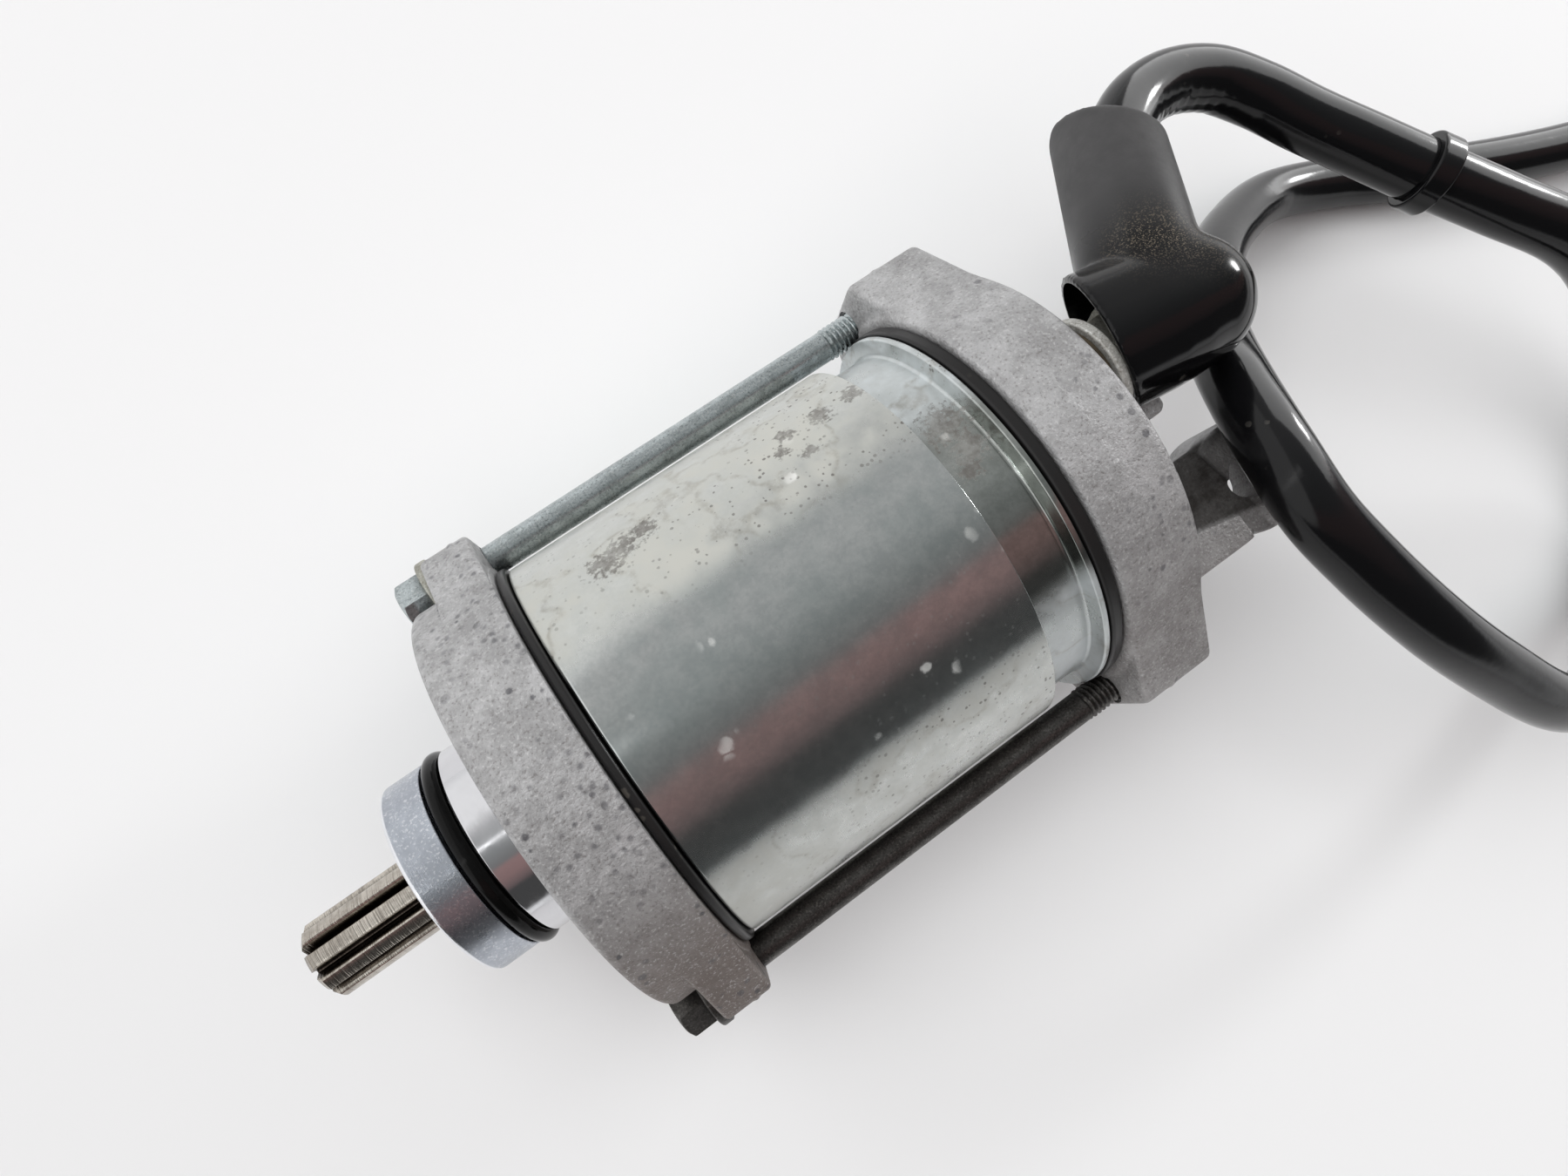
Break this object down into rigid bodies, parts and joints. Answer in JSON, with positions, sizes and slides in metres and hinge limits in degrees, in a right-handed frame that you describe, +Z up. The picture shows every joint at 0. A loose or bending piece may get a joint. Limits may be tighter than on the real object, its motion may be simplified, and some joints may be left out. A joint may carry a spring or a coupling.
{
  "type": "starter motor",
  "caption": "Brushed starter motor with a smooth steel yoke between cast brackets, a nose with a pinion shaft, a mounting lug and a booted cable on its terminal.",
  "frame": {"origin": "on the surface that the motor lies on, midway between the pinion tip and the end of the mounting lug", "axes": "+X along the shaft from the pinion to the terminal, +Z up, +Y to the side that the boot's sleeve points to"},
  "size_m": [0.3182, 0.1284, 0.0612],
  "materials": {
    "cast_aluminium": "die cast, dull and speckled",
    "zinc_steel": "zinc plated, glossy and worn",
    "bolt_steel": "zinc plated, grimy",
    "pinion_steel": "machined and oiled",
    "bearing_steel": "ground and polished",
    "core_steel": "stacked laminations",
    "copper": "bare copper",
    "brass": "machined",
    "ferrite": "sintered ferrite, matt",
    "carbon": "pressed carbon, matt",
    "spring_steel": "drawn wire",
    "fibre": "pressed fibre, matt",
    "rubber": "moulded, dusty",
    "vinyl": "glossy sheath"
  },
  "bodies": {
    "motor": {"front_bracket": "cast_aluminium", "rear_bracket": "cast_aluminium", "yoke_tube": "zinc_steel", "flux_sleeve": "zinc_steel", "front_gasket": "rubber", "rear_gasket": "rubber", "nose_o_ring": "rubber", "oil_seal": "rubber", "bearing_outer_ring": "bearing_steel", "rear_bush": "brass", "magnet_1": "ferrite", "magnet_2": "ferrite", "magnet_3": "ferrite", "magnet_4": "ferrite", "through_bolt_1": "bolt_steel", "through_bolt_2": "bolt_steel", "bolt_washer_1": "bolt_steel", "bolt_washer_2": "bolt_steel", "brush_plate": "fibre", "plate_screw_1": "bolt_steel", "plate_screw_2": "bolt_steel", "brush_spring_1": "spring_steel", "brush_spring_2": "spring_steel", "brush_spring_3": "spring_steel", "brush_spring_4": "spring_steel", "terminal_stud": "bolt_steel", "terminal_bushing": "fibre", "insulating_washer": "fibre", "terminal_washer": "zinc_steel", "terminal_nut": "zinc_steel", "cable_nut": "zinc_steel", "cable_lug": "zinc_steel", "terminal_boot": "rubber", "starter_cable": "vinyl", "cable_band": "vinyl", "ring_terminal": "zinc_steel", "ring_terminal_cover": "vinyl"},
    "rotor": {"armature_shaft": "pinion_steel", "armature_core": "core_steel", "armature_winding": "copper", "commutator": "copper", "bearing_inner_ring": "bearing_steel", "thrust_washer": "bearing_steel"},
    "ball_cage": {"bearing_ball_cage": "brass"},
    "brush_left": {"brush_1": "carbon"},
    "brush_top": {"brush_2": "carbon"},
    "brush_right": {"brush_3": "carbon"},
    "brush_bottom": {"brush_4": "carbon"}
  },
  "joints": [
    {"name": "rotor_spin", "type": "hinge", "parent": "motor", "child": "rotor", "pos_m": [0, 0, 0.0306], "axis": [1, 0, 0], "continuous": true},
    {"name": "cage_spin", "type": "hinge", "parent": "motor", "child": "ball_cage", "pos_m": [0, 0, 0.0306], "axis": [1, 0, 0], "continuous": true},
    {"name": "brush_left_slide", "type": "slide", "parent": "motor", "child": "brush_left", "axis": [0, 1, 0], "range_m": [0, 0.002], "stiffness_N_per_m": 1500, "springref_m": -0.003, "deforming": ["brush_spring_1"]},
    {"name": "brush_top_slide", "type": "slide", "parent": "motor", "child": "brush_top", "axis": [0, 0, 1], "range_m": [0, 0.002], "stiffness_N_per_m": 1500, "springref_m": -0.003, "deforming": ["brush_spring_2"]},
    {"name": "brush_right_slide", "type": "slide", "parent": "motor", "child": "brush_right", "axis": [0, -1, 0], "range_m": [0, 0.002], "stiffness_N_per_m": 1500, "springref_m": -0.003, "deforming": ["brush_spring_3"]},
    {"name": "brush_bottom_slide", "type": "slide", "parent": "motor", "child": "brush_bottom", "axis": [0, 0, -1], "range_m": [0, 0.002], "stiffness_N_per_m": 1500, "springref_m": -0.003, "deforming": ["brush_spring_4"]}
  ],
  "couplings": [
    {"joint": "cage_spin", "follows": "rotor_spin", "ratio": 0.406}
  ]
}
